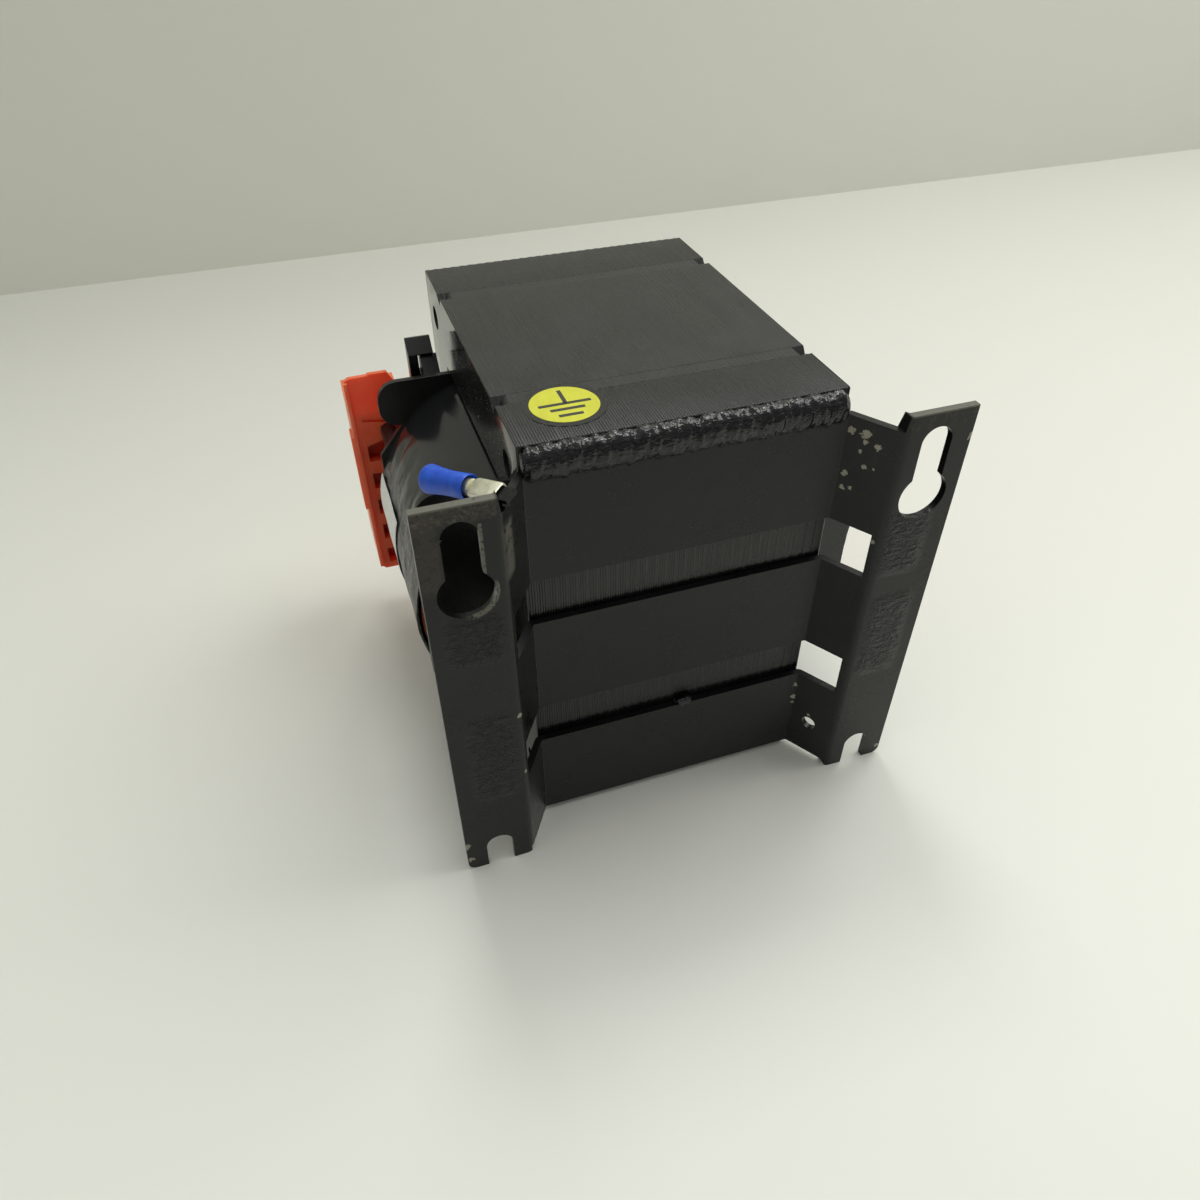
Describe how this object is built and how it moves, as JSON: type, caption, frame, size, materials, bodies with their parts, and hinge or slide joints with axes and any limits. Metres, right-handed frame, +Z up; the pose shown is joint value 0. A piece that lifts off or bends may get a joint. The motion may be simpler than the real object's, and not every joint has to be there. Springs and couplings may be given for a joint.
{
  "type": "laminated chassis transformer",
  "caption": "Welded laminated-core transformer on a folded hat bracket with keyhole slots, with a taped coil, orange terminal housings and an earth connector.",
  "frame": {"origin": "middle of the mounting plane that the two feet rest against, level with the middle of the core", "axes": "+X across the lamination stack, +Y away from the mounting plane through the core, +Z up, from the open slots to the keyholes"},
  "size_m": [0.1092, 0.1035, 0.096],
  "materials": {
    "core_lacquer": "lacquered laminations, satin with a film over the edges",
    "bracket_lacquer": "thick glossy black lacquer, worn on the edges",
    "weld_metal": "rippled weld under glossy lacquer",
    "bobbin_plastic": "glossy black moulding",
    "copper": null,
    "insulation": "matte",
    "tape": "crinkled glossy dark tape",
    "label": "bare white label",
    "housing_plastic": "orange moulding",
    "plated_metal": "tinned",
    "sleeve_black": "soft tubing",
    "sleeve_blue": "blue insulating sleeve"
  },
  "bodies": {
    "root": {"e_lamination_stack": "core_lacquer", "i_lamination_stack": "core_lacquer", "core_weld_seams": "weld_metal", "mounting_bracket": "bracket_lacquer", "bracket_weld_bead": "weld_metal", "bracket_tack_weld": "weld_metal", "bobbin": "bobbin_plastic", "primary_winding": "copper", "interlayer_insulation": "insulation", "secondary_winding": "copper", "outer_tape_wrap": "tape", "coil_label": "label", "terminal_housing_left": "housing_plastic", "terminal_housing_right": "housing_plastic", "terminal_clamps_left": "plated_metal", "terminal_clamps_right": "plated_metal", "terminal_screws_left": "plated_metal", "terminal_screws_right": "plated_metal", "lead_sleeves_left": "sleeve_black", "lead_sleeves_right": "sleeve_black", "earth_tab": "bracket_lacquer", "earth_receptacle": "plated_metal", "earth_sleeve": "sleeve_blue"}
  },
  "joints": []
}
